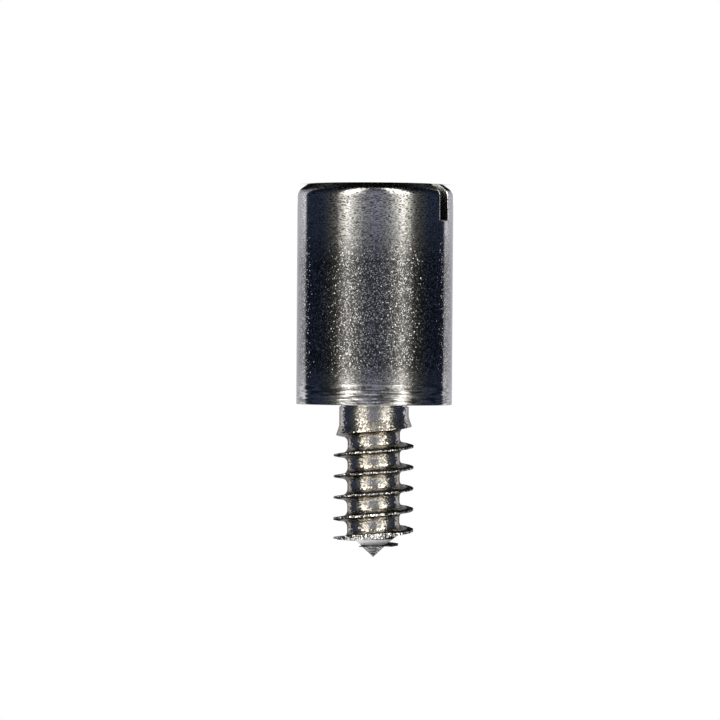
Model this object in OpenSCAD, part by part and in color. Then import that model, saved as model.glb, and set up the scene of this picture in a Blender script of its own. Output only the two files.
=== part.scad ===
// Setting lever screw of a watch movement, turned from one piece of steel.
// A tall barrel head carries a driver slot, and a short plain shank under it
// runs into a deep right-hand thread that ends in a small turned point.
// The screw stands on its slotted face: +Z runs from the slot to the point,
// the slot lies along X, and all sizes are in millimetres.

/* [Head] */
// Diameter of the barrel head
head_d = 1.48; // [1.2:0.01:1.8]
// Height of the head, from its slotted face to its seat
head_h = 2.09; // [1.6:0.01:2.6]
// Radius of the crowned edge round the slotted face
edge_r = 0.18; // [0.14:0.01:0.3]
// Height of the crowned edge along the axis
edge_h = 0.13; // [0.05:0.01:0.13]

/* [Driver slot] */
// Width of the slot
slot_w = 0.15; // [0.1:0.01:0.25]
// Depth of the slot below the slotted face
slot_depth = 0.36; // [0.2:0.01:0.6]
// Radius in the corners of the slot's floor
slot_corner_r = 0.02; // [0.01:0.005:0.04]

/* [Shank] */
// Diameter of the plain shank under the head
shank_d = 0.66; // [0.64:0.01:0.72]
// Length of the plain shank, from the seat to its flare
shank_l = 0.15; // [0.08:0.01:0.2]
// Diameter of the relief turned into the shank's foot
relief_d = 0.63; // [0.58:0.01:0.63]
// Width of the relief along the axis
relief_w = 0.022; // [0.01:0.002:0.04]
// Length of the flare that the die raised, from the plain shank to the full crests
flare_l = 0.26; // [0.2:0.01:0.32]

/* [Thread] */
// Diameter over the crests of the thread
thread_d = 0.76; // [0.74:0.01:0.88]
// Diameter at the root of the thread
root_d = 0.50; // [0.44:0.01:0.56]
// Advance of the thread for each turn
pitch = 0.20; // [0.18:0.005:0.24]
// Width of the land along the crests
crest_w = 0.012; // [0.008:0.001:0.02]
// Slope of each flank, from square to the axis
flank_angle = 10; // [7:1:14]
// Distance from the seat to the middle of the groove where it starts
start_l = 0.21; // [0.18:0.01:0.26]
// Turn over which the groove sinks from the surface to its full depth
run_out_angle = 140; // [90:5:200]
// Length of the screw under the head, from the seat to the end face
thread_l = 1.275; // [0.9:0.005:1.8]

/* [Point] */
// Height of the bevel between the end face's rim and the stub
bevel_h = 0.025; // [0.015:0.005:0.05]
// Diameter of the stub at the end face
stub_d = 0.34; // [0.28:0.01:0.4]
// Height of the tapered stub
stub_h = 0.05; // [0.03:0.005:0.08]
// Diameter at the base of the point
point_d = 0.22; // [0.16:0.01:0.26]
// Height of the point
point_h = 0.10; // [0.06:0.01:0.16]
// Turn that the thin first ridge of the thread takes from the point to the end face
lead_angle = 430; // [360:10:460]
// Thickness of that ridge at its foot
lead_t = 0.03; // [0.02:0.002:0.04]

/* [Hidden] */
$fn = 96;
// Cutting tools reach this far past the surface that they cut
overrun = 0.02;
// Steps of a sweep in one turn, and of the arc at the groove's root
steps_per_turn = 32;
root_steps = 6;
// Direction from the axis in which the first ridge leaves the point
lead_start_angle = 13;
// Share of the crests' radius that the first ridge reaches, where it joins the thread
lead_share = 0.94;

head_r = head_d / 2;
shank_r = shank_d / 2;
relief_r = relief_d / 2;
thread_r = thread_d / 2;
root_r = root_d / 2;
stub_r = stub_d / 2;
point_r = point_d / 2;

// Heights of the seat, of each step of the shank and point, and of the tip
seat_z = head_h;
relief_z = seat_z + relief_w;
flare_z = seat_z + shank_l;
crest_z = flare_z + flare_l;
end_z = seat_z + thread_l;
stub_z = end_z + bevel_h;
point_z = stub_z + stub_h;
tip_z = point_z + point_h;

// The groove's section has straight flanks that run tangent into a round root
thread_depth = thread_r - root_r;
groove_half_w = (pitch - crest_w) / 2;
root_arc_r = (groove_half_w * cos(flank_angle) - thread_depth * sin(flank_angle)) / (1 - sin(flank_angle));
groove_reach = crest_w / 4;
groove_top_r = thread_r + groove_reach / tan(flank_angle);
groove_top_half_w = groove_half_w + groove_reach;
start_z = seat_z + start_l;
groove_angle = 360 * (end_z + pitch / 2 - start_z) / pitch;
groove_steps = ceil(groove_angle / 360 * steps_per_turn);
run_out_lift = thread_depth + overrun;
lead_steps = ceil(lead_angle / 360 * steps_per_turn);

// Points of the groove's section as [radius, height], from one top corner to the other
groove_section = concat(
    [[groove_top_r, -groove_top_half_w]],
    [for (i = [0 : root_steps])
        let (a = (90 - flank_angle) * (2 * i / root_steps - 1))
        [root_r + root_arc_r * (1 - cos(a)), root_arc_r * sin(a)]],
    [[groove_top_r, groove_top_half_w]]
);

// Points of the first ridge's section, out to a thin crest at the given radius
function lead_section(crest_r) = [
    [point_r / 2, -lead_t / 2],
    [crest_r, -crest_w / 4],
    [crest_r, crest_w / 4],
    [point_r / 2, lead_t / 2]
];

// A section set up at an angle round the axis, moved out and up
function placed(section, angle, out, up) = [
    for (p = section) [(p[0] + out) * cos(angle), (p[0] + out) * sin(angle), p[1] + up]
];

// Height above its full depth at which the groove runs, at an angle past its start
function lift(angle) = run_out_lift * (1 + cos(180 * min(1, angle / run_out_angle))) / 2;

// Faces of a sweep of sections that have n points each, closed at both ends
function sweep_faces(steps, n) = concat(
    [[for (j = [0 : n - 1]) j]],
    [for (i = [0 : steps - 1], j = [0 : n - 1])
        let (a = i * n + j, b = i * n + (j + 1) % n)
        each [[a, a + n, b + n], [a, b + n, b]]],
    [[for (j = [n - 1 : -1 : 0]) steps * n + j]]
);

// Barrel head with the crowned edge at its slotted face
module head() {
    rotate_extrude() {
        translate([0, edge_h]) square([head_r, head_h - edge_h]);
        intersection() {
            square([head_r, edge_h]);
            union() {
                square([head_r - edge_r, edge_h]);
                translate([head_r - edge_r, edge_h]) circle(edge_r);
            }
        }
    }
}

// Turned blank of the shank, the thread and the point
module shank() {
    rotate_extrude() polygon([
        [0, seat_z - overrun],
        [relief_r, seat_z - overrun],
        [relief_r, relief_z],
        [shank_r, relief_z],
        [shank_r, flare_z],
        [thread_r, crest_z],
        [thread_r, end_z],
        [stub_r, stub_z],
        [point_r, point_z],
        [0, tip_z]
    ]);
}

// Helical groove that the die cuts, shallow at its start under the head
module thread_groove() {
    polyhedron(
        points = [
            for (i = [0 : groove_steps])
                let (angle = groove_angle * i / groove_steps)
                each placed(groove_section, angle, lift(angle), start_z + pitch * angle / 360)
        ],
        faces = sweep_faces(groove_steps, len(groove_section))
    );
}

// Thin first ridge of the thread, which winds from the point out to the end face
module thread_lead() {
    polyhedron(
        points = [
            for (i = [0 : lead_steps])
                let (
                    share = i / lead_steps,
                    crest_r = point_r + (lead_share * thread_r - point_r) * share,
                    up = point_z - (point_z - end_z) * share * share
                )
                each placed(lead_section(crest_r), lead_start_angle - lead_angle * share, 0, up)
        ],
        faces = sweep_faces(lead_steps, len(lead_section(thread_r)))
    );
}

// Saw cut across the slotted face, with rounded corners along its floor
module driver_slot() {
    rotate([90, 0, 90]) linear_extrude(head_d + 2 * overrun, center = true) {
        translate([-slot_w / 2, -overrun]) square([slot_w, slot_depth - slot_corner_r + overrun]);
        translate([-slot_w / 2 + slot_corner_r, 0]) square([slot_w - 2 * slot_corner_r, slot_depth]);
        for (side = [-1, 1])
            translate([side * (slot_w / 2 - slot_corner_r), slot_depth - slot_corner_r])
                circle(slot_corner_r);
    }
}

module setting_lever_screw() {
    color("#8b8b86") union() {
        difference() {
            head();
            driver_slot();
        }
        difference() {
            shank();
            thread_groove();
        }
        thread_lead();
    }
}

setting_lever_screw();
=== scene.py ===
from math import atan2, cos, hypot, pi, radians, sin, tan

import bmesh
import bpy
from mathutils import Matrix, Vector, noise


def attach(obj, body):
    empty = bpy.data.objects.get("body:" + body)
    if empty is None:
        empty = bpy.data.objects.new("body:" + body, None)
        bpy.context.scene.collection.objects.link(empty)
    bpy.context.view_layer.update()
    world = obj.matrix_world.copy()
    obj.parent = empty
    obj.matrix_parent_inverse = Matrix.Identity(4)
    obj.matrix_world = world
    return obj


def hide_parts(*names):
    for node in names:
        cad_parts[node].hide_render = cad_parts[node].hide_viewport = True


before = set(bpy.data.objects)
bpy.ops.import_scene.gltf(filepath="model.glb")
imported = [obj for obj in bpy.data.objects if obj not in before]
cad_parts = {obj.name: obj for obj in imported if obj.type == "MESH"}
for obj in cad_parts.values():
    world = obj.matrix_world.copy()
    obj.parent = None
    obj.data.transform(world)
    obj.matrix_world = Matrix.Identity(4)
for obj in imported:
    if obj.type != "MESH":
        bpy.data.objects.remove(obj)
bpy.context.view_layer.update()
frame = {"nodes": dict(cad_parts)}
print("frame loaded:", ", ".join(frame["nodes"]))

mm = 0.001  # the screw is modelled in millimetres and scaled once at the end


def profileChain(bm, points, start=None):  # joins points (radius, height) with edges
    verts = [start] if start else []
    for radius, height in points:
        vert = bm.verts.new((radius, 0, height))
        if verts:
            bm.edges.new((verts[-1], vert))
        verts.append(vert)
    return verts[-1]


def arcOn(bm, vert, radius, height, sweep, steps):  # swings a vertex round a point of the profile
    made = bmesh.ops.spin(bm, geom=[vert], cent=(radius, 0, height), axis=(0, 1, 0), dvec=(0, 0, 0),
                          angle=sweep, steps=steps, use_merge=False, use_duplicate=False)
    return [item for item in made["geom_last"] if isinstance(item, bmesh.types.BMVert)][0]


def spinRound(bm, columns):  # turns a profile into a closed wall round the axis
    bmesh.ops.spin(bm, geom=bm.verts[:] + bm.edges[:], cent=(0, 0, 0), axis=(0, 0, 1), dvec=(0, 0, 0),
                   angle=2 * pi, steps=columns, use_merge=True, use_duplicate=False)


def rimAt(bm, height, reach=1e-4):  # open edges that lie at one height
    return [edge for edge in bm.edges
            if edge.is_boundary and all(abs(vert.co.z - height) < reach for vert in edge.verts)]


def smoothShare(value):
    value = min(1, max(0, value))
    return value * value * (3 - 2 * value)


# barrel head, with fine turning rings above its seat
barrel = {
    "radius": 0.74, "height": 2.09, "seatBevel": 0.009, "seatRing": 0.55, "columns": 288,
    "crownInset": 0.098, "crownTilt": radians(54.8), "crownRadius": 0.10, "crownSteps": 12,
    "slotBand": 0.012, "rows": (0.5, 0.9, 1.4),  # rows of faces on each side of the slot's floor, and above it
    "rings": ((0.19, 0.0016, 0.010), (0.13, 0.0022, 0.012), (0.10, 0.0025, 0.013), (0.06, 0.0025, 0.014),
              (0.028, 0.0020, 0.010)),  # distance from the seat, depth, width
    "relief": 0.315,
}
shank = {"radius": 0.33, "top": 2.112, "bevel": 0.004, "buried": 2.16, "lip": 0.36, "lipLength": 0.095}


def turnHead(bm):
    radius, seat = barrel["radius"], barrel["height"]
    crown, tilt = barrel["crownRadius"], barrel["crownTilt"]
    inset = crown * (1 - cos(tilt))
    foot = (barrel["crownInset"] - inset) / tan(tilt)
    start = bm.verts.new((radius - barrel["crownInset"], 0, 0))
    corner = profileChain(bm, [(radius - inset, foot)], start)
    side = arcOn(bm, corner, radius - crown, foot + crown * sin(tilt), -tilt, barrel["crownSteps"])
    points = [(radius, slot["depth"] + step) for step in (-barrel["slotBand"], 0, barrel["slotBand"])]
    points += [(radius, height) for height in barrel["rows"]]
    for lift, depth, width in barrel["rings"]:
        points += [(radius, seat - lift - width / 2), (radius - depth, seat - lift),
                   (radius, seat - lift + width / 2)]
    bevel, relief = barrel["seatBevel"], barrel["relief"]
    points += [(radius, seat - bevel), (radius - bevel * 0.3, seat - bevel * 0.3), (radius - bevel, seat),
               (barrel["seatRing"], seat), (relief, seat), (relief, shank["buried"])]
    profileChain(bm, points, side)
    spinRound(bm, barrel["columns"])
    for height in (0, shank["buried"]):
        bmesh.ops.contextual_create(bm, geom=rimAt(bm, height))
    bmesh.ops.recalc_face_normals(bm, faces=bm.faces[:])


# driver slot, sawn right across the head
slot = {"width": 0.15, "depth": 0.345, "cornerRadius": 0.02, "lip": 0.010, "burr": 0.006, "burrTilt": 0.65}


def sawSlot(bm):
    half, depth = slot["width"] / 2, slot["depth"]
    for side in (-half, half):
        near = [face for face in bm.faces if min(vert.co.z for vert in face.verts) < depth - 1e-4]
        geom = near + list({item for face in near for item in (*face.edges, *face.verts)})
        bmesh.ops.bisect_plane(bm, geom=geom, dist=1e-5, plane_co=(0, side, 0), plane_no=(0, 1, 0))
    waste = [face for face in bm.faces
             if abs(face.calc_center_median().y) < half and face.calc_center_median().z < depth]
    bmesh.ops.delete(bm, geom=waste, context="FACES")
    mouth = [edge for edge in bm.edges if edge.is_boundary and edge.verts[0].co.z < depth + 1e-3]
    bmesh.ops.remove_doubles(bm, verts=list({vert for edge in mouth for vert in edge.verts}), dist=0.006)
    mouth = [edge for edge in bm.edges if edge.is_boundary and edge.verts[0].co.z < depth + 1e-3]
    ends = [edge for edge in mouth if all(abs(vert.co.z - depth) < 1e-4 for vert in edge.verts)]
    feet = []
    for side in (-half, half):
        wall = [edge for edge in mouth if edge not in ends and abs(edge.verts[0].co.y - side) < 1e-4]
        corners = sorted((vert for edge in wall for vert in edge.verts if abs(vert.co.z - depth) < 1e-4),
                         key=lambda vert: vert.co.x)
        foot = bm.edges.new((corners[0], corners[-1]))
        feet.append(foot)
        bmesh.ops.edgenet_fill(bm, edges=wall + [foot])
    bmesh.ops.edgenet_fill(bm, edges=feet + ends)
    bmesh.ops.recalc_face_normals(bm, faces=bm.faces[:])
    bmesh.ops.bevel(bm, geom=feet, offset=slot["cornerRadius"], offset_type="OFFSET", segments=5, profile=0.5,
                    affect="EDGES", material=-1, clamp_overlap=False)
    lips = [edge for edge in bm.edges if len(edge.link_faces) == 2 and edge.calc_face_angle(0) > 0.7
            and all(abs(vert.co.y) < half + 1e-3 and vert.co.z < depth + 1e-3 for vert in edge.verts)]
    bmesh.ops.bevel(bm, geom=lips, offset=slot["lip"], offset_type="OFFSET", segments=3, profile=0.5,
                    affect="EDGES", material=-1, clamp_overlap=False)


# deep right-hand thread, swept along its helix
thread = {
    "crest": 0.38, "root": 0.248, "pitch": 0.2, "land": 0.014, "flank": radians(8), "rootRadius": 0.062,
    "flankShares": (0.15, 0.4, 0.7, 1),  # rows of points down each flank
    "start": 2.296, "runOut": radians(140), "clearance": 0.02, "lipRise": 0.06, "end": 3.365, "lastCrest": 4.5,
    "turns": 8, "stepsPerTurn": 240, "rootSteps": 8,
    "wobble": 0.006, "wobbleSide": radians(153),
    "wobbleFade": (0.6, 2.9, 0.4),  # share lost, from what height, over how far
    "chipSize": 42, "chipDepth": (0.003, 0.005), "chipFrom": 3.05, "chipOver": 0.25, "chipTurn": radians(200),
    "thinFrom": 0.04, "thinOver": 0.03,  # the outer part of the crests, which chips
    "burrs": ((3.2, 0.4, 0.003), (4.52, 0.12, 0.014)),  # turns at which the crests thicken, over how far, how much
    "burrFrom": 0.09, "burrOver": 0.05,
}


def lipRadius(beyond):  # the blank swells towards the edge of the first groove
    plain, lip, crest = shank["radius"], shank["lip"], thread["crest"]
    if beyond < 0:
        return plain + (lip - plain) * max(0, 1 + beyond / shank["lipLength"]) ** 1.2
    return lip + (crest - lip) * smoothShare(beyond / thread["lipRise"])


def blankRadius(height, angle):  # the turned blank, before the groove is cut in it
    pitch = thread["pitch"]
    edge = thread["start"] + pitch * angle / (2 * pi) - (pitch - thread["land"]) / 2
    share = smoothShare(angle / thread["runOut"])
    return lipRadius(height - edge) * share + lipRadius(height - edge - pitch) * (1 - share)


def grooveLift(turned):  # the groove sinks in over its first part of a turn
    share = min(1, max(0, turned / thread["runOut"]))
    return (thread["crest"] - thread["root"] + thread["clearance"]) * (1 + cos(pi * share)) / 2


def cutThread():
    bm = bmesh.new()
    pitch, crest, root, flank = thread["pitch"], thread["crest"], thread["root"], thread["flank"]
    halfWidth, fillet = (pitch - thread["land"]) / 2, thread["rootRadius"]
    flat = halfWidth - (crest - root) * tan(flank) - fillet * (1 - sin(flank)) / cos(flank)
    middle = thread["start"] - 2 * pitch  # two turns early, so that the sweep covers the whole shank
    footRadius, footHalf = root + fillet * (1 - sin(flank)), flat + fillet * cos(flank)
    shares = thread["flankShares"]
    foot = profileChain(bm, [(crest, middle - pitch / 2), (crest, middle - halfWidth)] + [
        (crest + (footRadius - crest) * share, middle - halfWidth - (footHalf - halfWidth) * share)
        for share in shares])
    turned = pi / 2 - flank
    bottom = arcOn(bm, foot, root + fillet, middle - flat, turned, thread["rootSteps"])
    bottom = profileChain(bm, [(root, middle), (root, middle + flat)], bottom)
    far = arcOn(bm, bottom, root + fillet, middle + flat, turned, thread["rootSteps"])
    profileChain(bm, [
        (footRadius + (crest - footRadius) * (1 - share), middle + footHalf + (halfWidth - footHalf) * (1 - share))
        for share in reversed(shares[:-1])] + [(crest, middle + halfWidth), (crest, middle + pitch / 2)], far)
    steps = thread["stepsPerTurn"]
    bmesh.ops.spin(bm, geom=bm.verts[:] + bm.edges[:], cent=(0, 0, 0), axis=(0, 0, 1), dvec=(0, 0, pitch / steps),
                   angle=2 * pi, steps=steps, use_merge=False, use_duplicate=False)
    oneTurn = bm.verts[:] + bm.edges[:] + bm.faces[:]
    for count in range(1, thread["turns"]):
        copied = bmesh.ops.duplicate(bm, geom=oneTurn)["geom"]
        bmesh.ops.translate(bm, verts=[item for item in copied if isinstance(item, bmesh.types.BMVert)],
                            vec=(0, 0, pitch * count))
    bmesh.ops.remove_doubles(bm, verts=bm.verts[:], dist=1e-4)
    for vert in bm.verts:
        wearAndFit(vert)
    top, end, bevel = shank["top"], thread["end"], shank["bevel"]
    for height, inner, outer in ((top + bevel, False, False), (top, True, False), (end, False, True)):
        bmesh.ops.bisect_plane(bm, geom=bm.verts[:] + bm.edges[:] + bm.faces[:], dist=1e-6,
                               plane_co=(0, 0, height), plane_no=(0, 0, 1),
                               clear_inner=inner, clear_outer=outer)
    rim = rimAt(bm, top)
    bmesh.ops.scale(bm, vec=(1 - bevel / shank["radius"], 1 - bevel / shank["radius"], 1),
                    verts=list({vert for edge in rim for vert in edge.verts}))
    for cap in (rim, rimAt(bm, end)):
        bmesh.ops.contextual_create(bm, geom=cap)
    bmesh.ops.recalc_face_normals(bm, faces=bm.faces[:])
    return bm


def wearAndFit(vert):  # keeps the thread inside its blank, and chips its thin crests
    crest, root, stub = thread["crest"], thread["root"], point["hidden"]
    x, y, z = vert.co
    radius, angle = hypot(x, y), atan2(y, x) % (2 * pi)
    turn = (z - thread["start"]) / thread["pitch"] - angle / (2 * pi)
    turned = 2 * pi * round(turn) + angle
    if turn > thread["lastCrest"]:  # past the last crest the groove falls to the stub
        radius = stub + (radius - root) * (crest - stub) / (crest - root)
    radius = min(blankRadius(z, angle), radius + grooveLift(turned))
    thin = smoothShare((radius - crest + thread["thinFrom"]) / thread["thinOver"])
    thin = thin * smoothShare(turned / thread["chipTurn"] - 0.4)
    shallow, deep = thread["chipDepth"]
    wear = shallow + (deep - shallow) * smoothShare((z - thread["chipFrom"]) / thread["chipOver"])
    spot = Vector((x, y, z)) * thread["chipSize"]
    beside = (turn % 1 - 0.5) * thread["pitch"]  # distance from the middle of the crest
    along = turn // 1 + angle / (2 * pi)
    burr = sum(thick * smoothShare((along - first) / over) for first, over, thick in thread["burrs"])
    if 1e-4 < abs(beside) < 0.05:
        thick = burr * smoothShare((radius - crest + thread["burrFrom"]) / thread["burrOver"])
        z += thick * (1 if beside > 0 else -1)
    radius -= thin * wear * 2.2 * max(0, noise.noise(spot) + 0.1)
    z += thin * wear * noise.noise(spot + Vector((31, 7, 3)))
    lost, fadeFrom, fadeOver = thread["wobbleFade"]
    fading = 1 - lost * smoothShare((z - fadeFrom) / fadeOver)
    z += thread["wobble"] * cos(angle - thread["wobbleSide"]) * fading
    vert.co = (radius * cos(angle), radius * sin(angle), z)


# stub and point beyond the thread, with rings from the cutting tool
point = {"stub": ((0, 3.22), (0.14, 3.22), (0.2, 3.315), (0.222, 3.342), (0.12, 3.422), (0.114, 3.436)),
         "hidden": 0.15, "base": 0.108, "baseHeight": 3.44, "tip": 3.54, "columns": 120,
         "rings": (0.12, 0.27, 0.42, 0.6), "ringDepth": 0.0009, "ringWidth": 0.004}


def turnPoint():
    bm = bmesh.new()
    base, low, tip = point["base"], point["baseHeight"], point["tip"]
    points = [*point["stub"], (base, low)]
    for share in point["rings"]:
        radius, height = base * (1 - share), low + (tip - low) * share
        step = point["ringWidth"]
        points += [(radius + step, height - step), (radius - point["ringDepth"], height),
                   (radius - step, height + step)]
    points += [(0.008, tip - 0.006), (0, tip)]
    profileChain(bm, points)
    spinRound(bm, point["columns"])
    bmesh.ops.remove_doubles(bm, verts=bm.verts[:], dist=1e-5)
    bmesh.ops.recalc_face_normals(bm, faces=bm.faces[:])
    return bm


# thin first ridge of the thread, winding from the point out to the end face
lead = {"turn": radians(430), "startAngle": radians(13), "foot": 0.055, "thickness": 0.02, "edge": 0.007,
        "swell": 0.020, "swellAt": (0.40, 0.58), "reach": 0.357, "steps": 170, "ragged": 0.016}


def windLead():
    bm = bmesh.new()
    half, base = lead["thickness"] / 2, point["base"]
    corners = [bm.verts.new(corner) for corner in (
        (lead["foot"], 0, -half), (base, 0, -lead["edge"] / 2), (base, 0, lead["edge"] / 2), (lead["foot"], 0, half))]
    ring = [bm.edges.new((corners[i], corners[(i + 1) % 4])) for i in range(4)]
    start, lift = ring, point["baseHeight"]
    bmesh.ops.rotate(bm, verts=corners, cent=(0, 0, 0), matrix=Matrix.Rotation(lead["startAngle"], 3, "Z"))
    bmesh.ops.translate(bm, verts=corners, vec=(0, 0, lift))
    turnStep = Matrix.Rotation(-lead["turn"] / lead["steps"], 3, "Z")
    edge = lead["edge"]
    for step in range(1, lead["steps"] + 1):
        share = step / lead["steps"]
        grown = bmesh.ops.extrude_edge_only(bm, edges=ring)["geom"]
        verts = [item for item in grown if isinstance(item, bmesh.types.BMVert)]
        ring = [item for item in grown if isinstance(item, bmesh.types.BMEdge)]
        nextLift = point["baseHeight"] - (point["baseHeight"] - thread["end"]) * share * share
        bmesh.ops.rotate(bm, verts=verts, cent=(0, 0, 0), matrix=turnStep)
        bmesh.ops.translate(bm, verts=verts, vec=(0, 0, nextLift - lift))
        lift = nextLift
        outer = sorted(verts, key=lambda vert: -hypot(vert.co.x, vert.co.y))[:2]
        jag = noise.noise(Vector((step * 0.3, 2, 5))) * min(1, 4 * share)
        reach = base + (lead["reach"] - base) * share - lead["ragged"] * max(0, jag)
        first, last = lead["swellAt"]
        swollen = sin(pi * min(1, max(0, (share - first) / (last - first))))
        nextEdge = lead["edge"] * (1 + 0.4 * jag) + lead["swell"] * swollen * (0.7 + jag)
        for vert in outer:
            grow = reach / hypot(vert.co.x, vert.co.y)
            vert.co.x, vert.co.y = vert.co.x * grow, vert.co.y * grow
            vert.co.z = lift + (vert.co.z - lift) * nextEdge / edge
        edge = nextEdge
    for cap in (start, ring):
        bmesh.ops.contextual_create(bm, geom=cap)
    bmesh.ops.recalc_face_normals(bm, faces=bm.faces[:])
    return bm


def addTo(bm, other):  # takes another piece's mesh into this one
    mesh = bpy.data.meshes.new("part")
    other.to_mesh(mesh)
    other.free()
    bm.from_mesh(mesh)
    bpy.data.meshes.remove(mesh)


screwMesh = bmesh.new()
turnHead(screwMesh)
sawSlot(screwMesh)
print("head turned and slotted:", len(screwMesh.faces), "faces")
addTo(screwMesh, cutThread())
print("thread cut:", len(screwMesh.faces), "faces")
addTo(screwMesh, turnPoint())
addTo(screwMesh, windLead())
print("point turned:", len(screwMesh.faces), "faces,",
      sum(edge.is_boundary for edge in screwMesh.edges), "open edges")
bmesh.ops.scale(screwMesh, vec=(mm, mm, mm), verts=screwMesh.verts[:])
mesh = bpy.data.meshes.new("settingLeverScrew")
screwMesh.to_mesh(mesh)
screwMesh.free()
mesh.shade_smooth()
mesh.set_sharp_from_angle(angle=radians(28))
screw = bpy.data.objects.new("settingLeverScrew", mesh)
bpy.context.scene.collection.objects.link(screw)
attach(screw, "root")
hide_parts("setting_lever_screw")


# turned steel: bright where the tool finished it, matt and grainy on the barrel, straw-coloured in the thread
steel = {
    "bright": (0.80, 0.79, 0.77), "straw": (0.97, 0.90, 0.78), "rubbed": (0.96, 0.95, 0.92),
    "satin": (0.92, 0.90, 0.91),
    "grainSize": 118, "grainTilt": (0.008, 0.02),  # grains to the millimetre, and how far they lean
    "glintTilt": 0.38,  # how far the brightest lean
    "threadGrain": 90, "threadTilt": 0.28, "crestGrain": 24, "crestTilt": (0.4, 0.5),  # long dashes and fine grain
    "edgeTint": (0.5, 0.4, 0.08),  # grazing tint on the barrel, on the shank, and on the crown, roots and crests; the low tint paints shade on the crown and in the roots
    "roughness": (0.05, 0.10), "threadRoughness": 0.08, "lineDepth": 0.15e-6,
    "paintedShadeAndDark": 0.84, "darkenedRoughness": 0.3,  # how much darker and how much rougher the thread's flanks are
    "sawn": 0.7, "ridge": 0.75, "crown": 0.6,  # shares of that darkening: painted shade in the slot, darker steel on the first ridge, painted shade on the crown
    "oil": 1.0, "oiled": (0.06, 2.088),  # film of oil on the barrel, and the heights between which it lies
    # heights from the slotted face in millimetres, and the share of each finish there
    "onCrown": ((0.055, 1), (0.075, 0)),
    "toolLines": ((1.86, 0), (1.92, 1), (2.078, 1), (2.083, 0)),
    "onSeat": ((2.083, 0), (2.087, 1), (2.105, 1), (2.11, 0)),
    "onThread": ((2.08, 0.0), (2.11, 0.7), (2.4, 1.0), (3.33, 1.0), (3.35, 0.0)),
    "onEnd": ((3.362, 0), (3.366, 1), (3.434, 1), (3.438, 0)), "cone": (3.2, 11.256),  # slope and reach of the stub
    "tall": 3.6, "wide": 0.4,  # height and radius that the ramps take as 1
    "matt": ((0.0, 0.0), (0.30, 0.1), (0.50, 0.45), (0.75, 1.0), (1.72, 1.0), (1.92, 0.3), (2.08, 0.1), (2.15, 0.2),
             (3.36, 0.2), (3.40, 0.0)),
}


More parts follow.
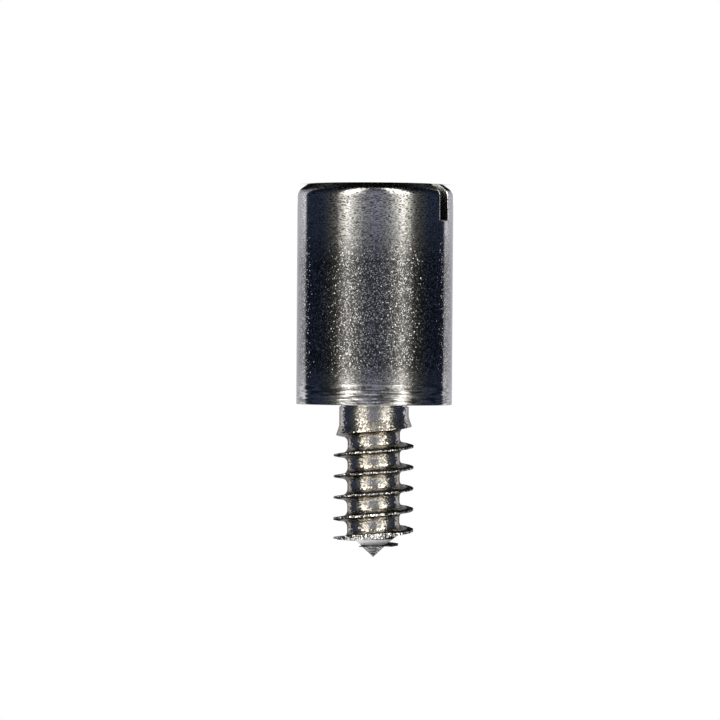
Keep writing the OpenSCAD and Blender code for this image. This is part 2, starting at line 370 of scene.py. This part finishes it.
def steelMaterial(name, oil):
    material = bpy.data.materials.new(name)
    material.use_nodes = True
    nodes, links = material.node_tree.nodes, material.node_tree.links
    shader = nodes["Principled BSDF"]
    shader.inputs["Coat Weight"].default_value = oil
    shader.inputs["Coat IOR"].default_value = 1.45
    shader.inputs["Coat Roughness"].default_value = 0.03

    def feed(socket, value):
        if isinstance(value, bpy.types.NodeSocket):
            links.new(value, socket)
        else:
            socket.default_value = value

    def ramp(value, stops):  # grey stops along a value
        node = nodes.new("ShaderNodeValToRGB")
        elements = node.color_ramp.elements
        while len(elements) < len(stops):
            elements.new(0.5)
        for element, (place, grey) in zip(elements, stops):
            element.position = place
            element.color = (grey, grey, grey, 1)
        feed(node.inputs["Fac"], value)
        return node.outputs["Color"]

    def number(operation, *values):
        node = nodes.new("ShaderNodeMath")
        node.operation = operation
        for socket, value in zip(node.inputs, values):
            feed(socket, value)
        return node.outputs["Value"]

    def vector(operation, first, second=None, scale=None):
        node = nodes.new("ShaderNodeVectorMath")
        node.operation = operation
        feed(node.inputs[0], first)
        if second is not None:
            feed(node.inputs[1], second)
        if scale is not None:
            feed(node.inputs["Scale"], scale)
        return node.outputs["Vector"]

    def blend(share, first, second):
        node = nodes.new("ShaderNodeMix")
        node.data_type = "RGBA"
        feed(node.inputs["Factor"], share)
        feed(node.inputs["A"], first)
        feed(node.inputs["B"], second)
        return node.outputs["Result"]

    def noiseAt(stretch, scale, detail, rough=0.5):
        node = nodes.new("ShaderNodeTexNoise")
        node.inputs["Scale"].default_value = scale
        node.inputs["Detail"].default_value = detail
        node.inputs["Roughness"].default_value = rough
        links.new(vector("MULTIPLY", place, stretch), node.inputs["Vector"])
        return node.outputs["Fac"]

    coords = nodes.new("ShaderNodeTexCoord")
    place = vector("SCALE", coords.outputs["Object"], scale=1 / mm)  # millimetres
    split = nodes.new("ShaderNodeSeparateXYZ")
    links.new(place, split.inputs["Vector"])
    tall = steel["tall"]
    height = number("DIVIDE", split.outputs["Z"], tall)

    def band(name):  # share of a finish along the screw
        return ramp(height, [(level / tall, share) for level, share in steel[name]])

    matt = band("matt")

    # places on the screw: the crowned edge, the slot and its lips, the thread's flanks and its crests
    flat = nodes.new("ShaderNodeVectorMath")
    flat.operation = "LENGTH"
    links.new(vector("MULTIPLY", place, (1, 1, 0)), flat.inputs[0])
    radius = number("DIVIDE", flat.outputs["Value"], steel["wide"])
    surface = nodes.new("ShaderNodeNewGeometry")
    facing = nodes.new("ShaderNodeSeparateXYZ")
    links.new(surface.outputs["Normal"], facing.inputs["Vector"])
    upright = number("ABSOLUTE", facing.outputs["Z"])
    endways = ramp(upright, ((0.45, 0), (0.65, 1)))
    onCrown = number("MULTIPLY", band("onCrown"), number("LESS_THAN", upright, 0.95))
    turned = number("FLOORED_MODULO", number("ARCTAN2", split.outputs["Y"], split.outputs["X"]), 2 * pi)
    grooveEdge = number("MULTIPLY_ADD", turned, thread["pitch"] / (2 * pi),
                        thread["start"] - thread["pitch"] / 2 + 0.01)
    cut = number("MULTIPLY", number("GREATER_THAN", split.outputs["Z"], grooveEdge),
                 number("LESS_THAN", split.outputs["Z"], thread["end"] + 0.002))
    flank = number("MULTIPLY", number("MULTIPLY", cut, endways), ramp(radius, ((0.77, 0), (0.83, 1))))
    crest = number("MULTIPLY", number("SUBTRACT", cut, flank), ramp(radius, ((0.90, 0), (0.92, 1))))
    aside = number("ABSOLUTE", split.outputs["Y"])
    skin = 0.0007  # keeps the slot's own faces inside its mask
    sawn = number("LESS_THAN", aside, slot["width"] / 2 + skin)
    nearSlot = number("MULTIPLY", number("LESS_THAN", split.outputs["Z"], slot["depth"] + slot["lip"]),
                      number("LESS_THAN", aside, slot["width"] / 2 + slot["lip"] * 1.1))
    inSlot = number("MULTIPLY", nearSlot,
                    number("MULTIPLY", sawn, number("LESS_THAN", split.outputs["Z"], slot["depth"] + skin)))
    rubbed = number("MAXIMUM", crest, number("SUBTRACT", nearSlot, inSlot))
    # the stub's cone is frosted, and the ridge round it is dark
    onEnd = band("onEnd")
    slope, coneReach = steel["cone"]
    onCone = number("LESS_THAN", number("MULTIPLY_ADD", split.outputs["Z"], slope, radius), coneReach)
    satin = number("MULTIPLY", onEnd, onCone)
    ridge = number("SUBTRACT", onEnd, satin)
    # painted shade on the crown and in the slot, with darker thread flanks and first ridge
    paintedShadeAndDark = number("MAXIMUM", number("MULTIPLY", onCrown, steel["crown"]), flank)
    paintedShadeAndDark = number("MAXIMUM", paintedShadeAndDark, number("MAXIMUM", number("MULTIPLY", inSlot, steel["sawn"]),
                                          number("MULTIPLY", ridge, steel["ridge"])))

    grains = nodes.new("ShaderNodeTexVoronoi")
    grains.inputs["Scale"].default_value = steel["grainSize"]
    links.new(place, grains.inputs["Vector"])
    grain = nodes.new("ShaderNodeSeparateColor")
    links.new(grains.outputs["Color"], grain.inputs["Color"])
    streaks = noiseAt((1, 1, 3.0), 44, 2, 0.5)
    toolLines = noiseAt((1, 1, 6), 6, 2)
    patches = noiseAt((1, 1, 1), 4, 3)

    onThread = band("onThread")
    # each grain leans its own way, and the tool's lines run round
    lean = nodes.new("ShaderNodeMapRange")
    lean.inputs["To Min"].default_value, lean.inputs["To Max"].default_value = steel["grainTilt"]
    links.new(matt, lean.inputs["Value"])
    glintTilt = steel["glintTilt"]
    glint = number("MULTIPLY", matt,
                   ramp(grain.outputs["Blue"], ((0.84, 0), (0.92, glintTilt * 0.6), (1.0, glintTilt))))
    sideways = vector("MULTIPLY", vector("SUBTRACT", grains.outputs["Color"], (0.5, 0.5, 0.5)), (1, 1, 0))
    tilt = vector("SCALE", sideways, scale=number("ADD", lean.outputs["Result"], glint))
    dashTilt, fineTilt = steel["crestTilt"]
    torn = nodes.new("ShaderNodeTexVoronoi")
    torn.inputs["Scale"].default_value = steel["threadGrain"]
    links.new(place, torn.inputs["Vector"])
    tornTilt = number("MULTIPLY_ADD", crest, fineTilt, number("MULTIPLY", onThread, steel["threadTilt"]))
    tilt = vector("ADD", tilt, vector("SCALE", vector("SUBTRACT", torn.outputs["Color"], (0.5, 0.5, 0.5)),
                                      scale=tornTilt))
    dashes = nodes.new("ShaderNodeTexVoronoi")
    dashes.inputs["Scale"].default_value = steel["crestGrain"]
    links.new(place, dashes.inputs["Vector"])
    tilt = vector("ADD", tilt, vector("SCALE", vector("SUBTRACT", dashes.outputs["Color"], (0.5, 0.5, 0.5)),
                                      scale=number("MULTIPLY", crest, dashTilt)))
    # the saw left a burr along one side of the slot
    burrMiddle = slot["width"] / 2 + slot["lip"] + slot["burr"] / 2
    beside = number("MULTIPLY", number("COMPARE", aside, burrMiddle, slot["burr"] / 2),
                    number("LESS_THAN", split.outputs["Z"], slot["depth"]))
    burr = nodes.new("ShaderNodeCombineXYZ")
    links.new(number("MULTIPLY", number("LESS_THAN", split.outputs["Y"], 0),
                     number("MULTIPLY", beside, -slot["burrTilt"])), burr.inputs["Y"])
    raised = vector("ADD", surface.outputs["Normal"], burr.outputs["Vector"])
    leaning = vector("NORMALIZE", vector("ADD", raised, tilt))
    lines = nodes.new("ShaderNodeBump")
    lines.inputs["Distance"].default_value = steel["lineDepth"]
    links.new(streaks, lines.inputs["Height"])
    links.new(leaning, lines.inputs["Normal"])
    links.new(lines.outputs["Normal"], shader.inputs["Normal"])

    # shade of the steel: streaks where it is bright, grains where it is matt
    streakShade = ramp(streaks, ((0.37, 0.06), (0.48, 0.52), (0.57, 0.92)))
    lineShade = vector("MULTIPLY", ramp(toolLines, ((0.42, 0.2), (0.49, 0.7), (0.54, 1.0))),
                       ramp(streaks, ((0.38, 0.4), (0.5, 1.0))))
    streakShade = blend(band("toolLines"), streakShade, lineShade)
    grainShade = ramp(grain.outputs["Blue"], ((0.0, 0.02), (0.45, 0.07), (0.7, 0.19), (0.84, 0.55), (0.92, 0.95)))
    shade = blend(matt, streakShade, grainShade)
    shade = blend(onThread, shade, ramp(torn.outputs["Distance"], ((0.2, 0.98), (0.6, 0.6))))
    shade = blend(rubbed, shade, ramp(grain.outputs["Blue"], ((0.25, 0.12), (0.38, 1.0))))
    shade = blend(band("onSeat"), shade, (0.95, 0.95, 0.95, 1))
    warmth = number("MULTIPLY", onThread, ramp(patches, ((0.35, 0.5), (0.6, 1.0))))
    tone = blend(warmth, (*steel["bright"], 1), (*steel["straw"], 1))
    tone = blend(rubbed, tone, (*steel["rubbed"], 1))
    # darkens the colour by the painted shade on the crown and in the slot, and on the flanks and first ridge
    undarkened = number("MULTIPLY_ADD", paintedShadeAndDark, -steel["paintedShadeAndDark"], 1)
    metal = vector("SCALE", vector("MULTIPLY", tone, shade), scale=undarkened)
    links.new(blend(satin, metal, (*steel["satin"], 1)), shader.inputs["Base Color"])
    links.new(number("MULTIPLY_ADD", satin, -0.85, 1), shader.inputs["Metallic"])
    onHead, onShank, onCut = steel["edgeTint"]
    edgeTint = number("MULTIPLY_ADD", onThread, onShank - onHead, onHead)
    # the low grazing tint on the roots and on the crown is painted shade
    keen = number("MULTIPLY", cut, ramp(radius, ((0.66, 1), (0.72, 0), (0.90, 0), (0.92, 1))))
    edgeTint = number("MULTIPLY_ADD", keen, onCut - onShank, edgeTint)
    edgeTint = number("MULTIPLY_ADD", onCrown, onCut - onHead, edgeTint)
    links.new(number("MULTIPLY", number("SUBTRACT", 1, paintedShadeAndDark), edgeTint), shader.inputs["Specular Tint"])

    rough = nodes.new("ShaderNodeMapRange")
    rough.inputs["To Min"].default_value, rough.inputs["To Max"].default_value = steel["roughness"]
    links.new(number("MULTIPLY", patches, number("ADD", matt, 0.6)), rough.inputs["Value"])
    worn = number("MULTIPLY_ADD", onThread, steel["threadRoughness"], rough.outputs["Result"])
    worn = number("MULTIPLY_ADD", paintedShadeAndDark, steel["darkenedRoughness"], worn)
    links.new(number("MULTIPLY_ADD", satin, 0.4, worn), shader.inputs["Roughness"])
    return material


for name, oil in (("barrelSteel", steel["oil"]), ("drySteel", 0)):
    screw.data.materials.append(steelMaterial(name, oil))
oilFrom, oilTo = steel["oiled"]
for face in screw.data.polygons:
    face.material_index = int(not oilFrom < face.center.z / mm < oilTo)
print("steel finished")

# camera: level with the head, and upside down, because the screw stands on its slotted face
shot = {"side": radians(241.7), "distance": 45, "frameWidth": 6.84, "aimHeight": 1.669, "eyeHeight": 1.384,
        "aside": 0.1361, "lean": radians(0.38)}


def setCamera():
    camera = bpy.data.cameras.new("photoCamera")
    camera.sensor_width = 36
    camera.lens = 36 * shot["distance"] / shot["frameWidth"]
    camera.clip_start, camera.clip_end = 0.001, 10
    eye = bpy.data.objects.new("photoCamera", camera)
    bpy.context.scene.collection.objects.link(eye)
    towards = Vector((cos(shot["side"]), sin(shot["side"]), 0))  # from the screw to the camera
    right = towards.cross(Vector((0, 0, 1)))
    aim = Vector((0, 0, shot["aimHeight"])) - right * shot["aside"]
    place = aim + towards * shot["distance"]
    place.z = shot["eyeHeight"]
    back = (place - aim).normalized()
    up = Vector((0, 0, -1)) * cos(shot["lean"]) - right * sin(shot["lean"])
    across = up.cross(back).normalized()
    up = back.cross(across)
    eye.matrix_world = Matrix.Translation(place * mm) @ Matrix((across, up, back)).transposed().to_4x4()
    bpy.context.scene.camera = eye


# tall lamps left and right of the lens, dark room at the sides, white paper behind, white sheets overhead
studio = {
    "room": (  # degrees round from the lens, and the light there
        (0, (0.265, 0.275, 0.36)), (12, (0.30, 0.31, 0.36)), (40, (0.28, 0.28, 0.26)), (59, (0.2, 0.2, 0.19)),
        (70, (0.075, 0.082, 0.085)), (86, (0.03, 0.04, 0.07)), (116, (0.028, 0.038, 0.07)), (122, (0.06, 0.07, 0.1)),
        (127, (1.1, 1.1, 1.17)), (140, (0.96, 0.97, 1.04)), (155, (0.75, 0.75, 0.8)), (170, (0.6, 0.6, 0.64)),
        (180, (0.55, 0.55, 0.59))),
    "lamp": ((14, (0, 0, 0)), (22, (0.2, 0.2, 0.18)), (32, (0.66, 0.64, 0.6)), (41, (1.5, 1.46, 1.4)),
             (50, (0.7, 0.67, 0.61)), (59, (0, 0, 0))),
    # height of the light, from straight down to straight up, and its strength there
    "lampHeight": ((0.0, 0.1), (0.008, 0.2), (0.02, 4.0), (0.25, 4.0), (0.36, 2.4), (0.45, 1.2), (0.5, 1.0), (0.9, 1.0),
                   (0.97, 0.5)),
    "roomHeight": ((0.0, 0.3), (0.05, 0.5), (0.3, 0.9), (0.5, 1.0)),
    "paperHeight": ((0.07, 0.01), (0.17, 0.3), (0.30, 0.45), (0.38, 0.75), (0.44, 1.0), (0.62, 1.0), (0.78, 0.15)),
    # sheets of white overhead: lean from upright, away from the lens, and how far they reach
    "sheets": ((radians(40), (radians(40), radians(22)), (0.8, 0.8, 0.86)),
               (radians(-36), (radians(30), radians(18)), (1.0, 0.97, 0.92))),
}


def lightStudio():
    world = bpy.data.worlds.new("studio")
    bpy.context.scene.world = world
    world.use_nodes = True
    nodes, links = world.node_tree.nodes, world.node_tree.links
    coords = nodes.new("ShaderNodeTexCoord")
    towards = Vector((cos(shot["side"]), sin(shot["side"]), 0))

    def feed(socket, value):
        if isinstance(value, bpy.types.NodeSocket):
            links.new(value, socket)
        else:
            socket.default_value = value

    def vector(operation, first, second):
        node = nodes.new("ShaderNodeVectorMath")
        node.operation = operation
        links.new(first, node.inputs[0])
        links.new(second, node.inputs[1])
        return node.outputs["Vector"]

    def along(direction):
        node = nodes.new("ShaderNodeVectorMath")
        node.operation = "DOT_PRODUCT"
        node.inputs[1].default_value = direction
        links.new(coords.outputs["Generated"], node.inputs[0])
        return node.outputs["Value"]

    def number(operation, *values):
        node = nodes.new("ShaderNodeMath")
        node.operation = operation
        for socket, value in zip(node.inputs, values):
            feed(socket, value)
        return node.outputs["Value"]

    def ramp(value, stops):
        node = nodes.new("ShaderNodeValToRGB")
        elements = node.color_ramp.elements
        while len(elements) < len(stops):
            elements.new(0.5)
        for element, (place, colour) in zip(elements, stops):
            element.position = place
            element.color = (*colour, 1) if isinstance(colour, tuple) else (colour, colour, colour, 1)
        links.new(value, node.inputs["Fac"])
        return node.outputs["Color"]

    def fade(value, first, last):  # from 0 to 1 between two values
        node = nodes.new("ShaderNodeMapRange")
        node.interpolation_type = "SMOOTHSTEP"
        node.inputs["From Min"].default_value, node.inputs["From Max"].default_value = first, last
        links.new(value, node.inputs["Value"])
        return node.outputs["Result"]

    def blend(share, first, second):
        node = nodes.new("ShaderNodeMix")
        node.data_type = "RGBA"
        feed(node.inputs["Factor"], share)
        feed(node.inputs["A"], first)
        feed(node.inputs["B"], second)
        return node.outputs["Result"]

    right = towards.cross(Vector((0, 0, 1)))
    angle = number("ABSOLUTE", number("ARCTAN2", along(right), along(towards)))
    around = number("DIVIDE", angle, pi)
    level = number("MULTIPLY_ADD", along(Vector((0, 0, 1))), 0.5, 0.5)
    room, lamp = (ramp(around, [(degree / 180, colour) for degree, colour in studio[name]])
                  for name in ("room", "lamp"))
    dimming = blend(fade(angle, radians(95), radians(110)),
                    ramp(level, studio["roomHeight"]), ramp(level, studio["paperHeight"]))
    light = vector("ADD", vector("MULTIPLY", room, dimming),
                   vector("MULTIPLY", lamp, ramp(level, studio["lampHeight"])))
    for lean, reach, colour in studio["sheets"]:
        middle = Vector((0, 0, cos(lean))) - towards * sin(lean)
        light = blend(fade(along(middle), *(cos(angle) for angle in reach)), light, (*colour, 1))
    path = nodes.new("ShaderNodeLightPath")
    seen = blend(path.outputs["Is Glossy Ray"], (1, 1, 1, 1), light)
    links.new(seen, nodes["Background"].inputs["Color"])


# plain white paper under the screw
paper = {"radius": 7, "drop": 0.001, "colour": (0.55, 0.55, 0.55), "glow": 0.66}


def layPaper():
    bm = bmesh.new()
    bmesh.ops.create_circle(bm, cap_ends=True, segments=96, radius=paper["radius"] * mm)
    bmesh.ops.translate(bm, verts=bm.verts[:], vec=(0, 0, -paper["drop"] * mm))
    sheet = bpy.data.meshes.new("paperFloor")
    bm.to_mesh(sheet)
    bm.free()
    floor = bpy.data.objects.new("paperFloor", sheet)
    bpy.context.scene.collection.objects.link(floor)
    floor.visible_glossy = False  # the steel mirrors the studio, not the sheet under it
    material = bpy.data.materials.new("whitePaper")
    material.use_nodes = True
    nodes, links = material.node_tree.nodes, material.node_tree.links
    shader = nodes["Principled BSDF"]
    shader.inputs["Base Color"].default_value = (*paper["colour"], 1)
    shader.inputs["Roughness"].default_value = 0.9
    shader.inputs["Specular IOR Level"].default_value = 0
    path = nodes.new("ShaderNodeLightPath")
    glow = nodes.new("ShaderNodeEmission")
    seen = nodes.new("ShaderNodeMath")
    seen.operation = "MULTIPLY"
    seen.inputs[1].default_value = paper["glow"]
    links.new(path.outputs["Is Camera Ray"], seen.inputs[0])
    links.new(seen.outputs["Value"], glow.inputs["Strength"])
    both = nodes.new("ShaderNodeAddShader")
    links.new(shader.outputs["BSDF"], both.inputs[0])
    links.new(glow.outputs["Emission"], both.inputs[1])
    clear = nodes.new("ShaderNodeBsdfTransparent")  # a look from below goes through the sheet
    surface = nodes.new("ShaderNodeNewGeometry")
    sided = nodes.new("ShaderNodeMixShader")
    links.new(surface.outputs["Backfacing"], sided.inputs["Fac"])
    links.new(both.outputs["Shader"], sided.inputs[1])
    links.new(clear.outputs["BSDF"], sided.inputs[2])
    links.new(sided.outputs["Shader"], nodes["Material Output"].inputs["Surface"])
    sheet.materials.append(material)


setCamera()
lightStudio()
layPaper()
bpy.context.scene.view_settings.view_transform = "Standard"
print("studio set")
